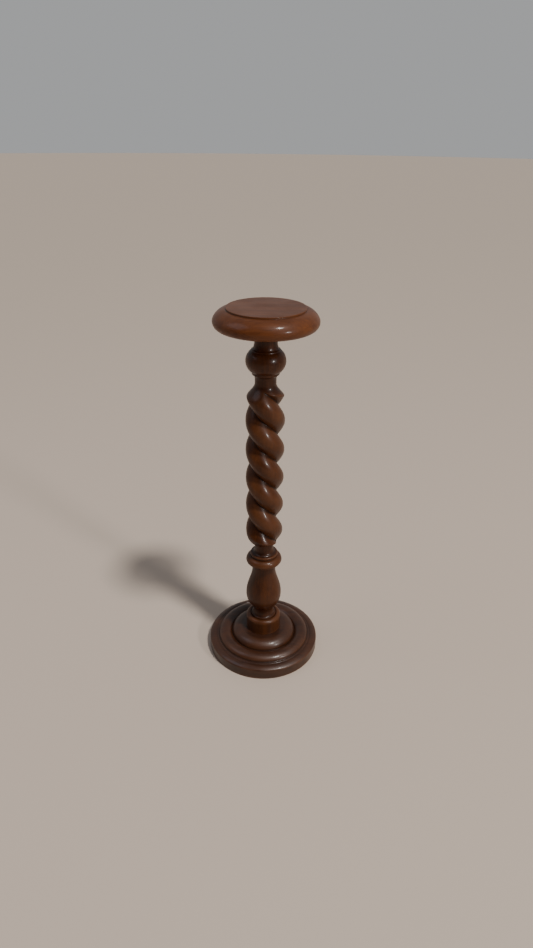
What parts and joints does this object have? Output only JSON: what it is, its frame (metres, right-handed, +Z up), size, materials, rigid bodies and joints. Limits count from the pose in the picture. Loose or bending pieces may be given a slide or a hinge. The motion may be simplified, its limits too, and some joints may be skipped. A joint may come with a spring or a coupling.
{
  "type": "turned wooden pedestal column",
  "caption": "Turned wooden pedestal column with a rope-twist shaft, a moulded round base and a round top with a raised platform for a plant, bust or lamp.",
  "frame": {"origin": "centre of the base's underside, on the floor", "axes": "+Z up along the column's axis, +X to the right as seen from the front, +Y away from the front"},
  "size_m": [0.299, 0.299, 0.953],
  "materials": {
    "base_wood": "dark red-brown stain under satin lacquer, darkened in the grooves and rubbed lighter on the edges",
    "column_wood": "dark red-brown stain under glossy lacquer, darkened in the hollows of the twist and in the turned grooves",
    "top_wood": "red-brown stain under satin lacquer, with straight grain across the flat top"
  },
  "bodies": {
    "root": {"base": "base_wood", "column": "column_wood", "top": "top_wood"}
  },
  "joints": []
}
